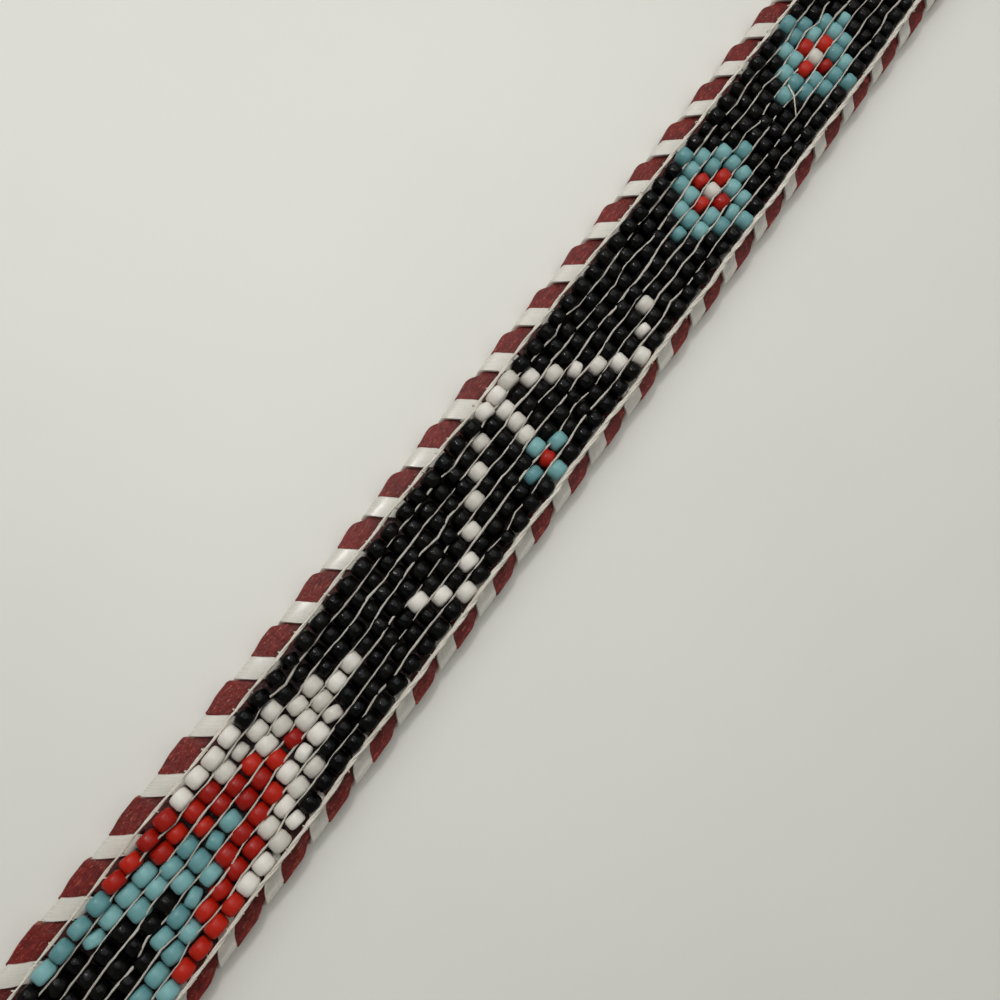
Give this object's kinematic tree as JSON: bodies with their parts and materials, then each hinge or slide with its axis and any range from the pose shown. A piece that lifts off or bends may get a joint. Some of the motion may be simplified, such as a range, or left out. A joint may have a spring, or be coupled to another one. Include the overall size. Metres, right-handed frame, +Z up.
{
  "type": "beaded belt",
  "caption": "Leather belt faced with a loom-woven band of seed beads, its edges whip-stitched with flat lacing, with a plain frame buckle.",
  "frame": {"origin": "centre of the belt's length and width, at the level of the surface that it lies on", "axes": "+X along the belt from the buckle to the tip, +Y across it, +Z up out of the beaded face"},
  "size_m": [0.7138, 0.0286, 0.0084],
  "materials": {
    "leather": "dark red, smooth, faintly glossy",
    "beads": "opaque glossy seed beads, mostly black",
    "lacing": "off-white flat lace, soft sheen",
    "thread": "off-white cotton thread",
    "metal": "satin nickel"
  },
  "bodies": {
    "root": {"leather_strap": "leather", "bead_band": "beads", "lacing_left": "lacing", "lacing_right": "lacing", "buckle": "metal", "strap_rivet": "metal"}
  },
  "joints": []
}
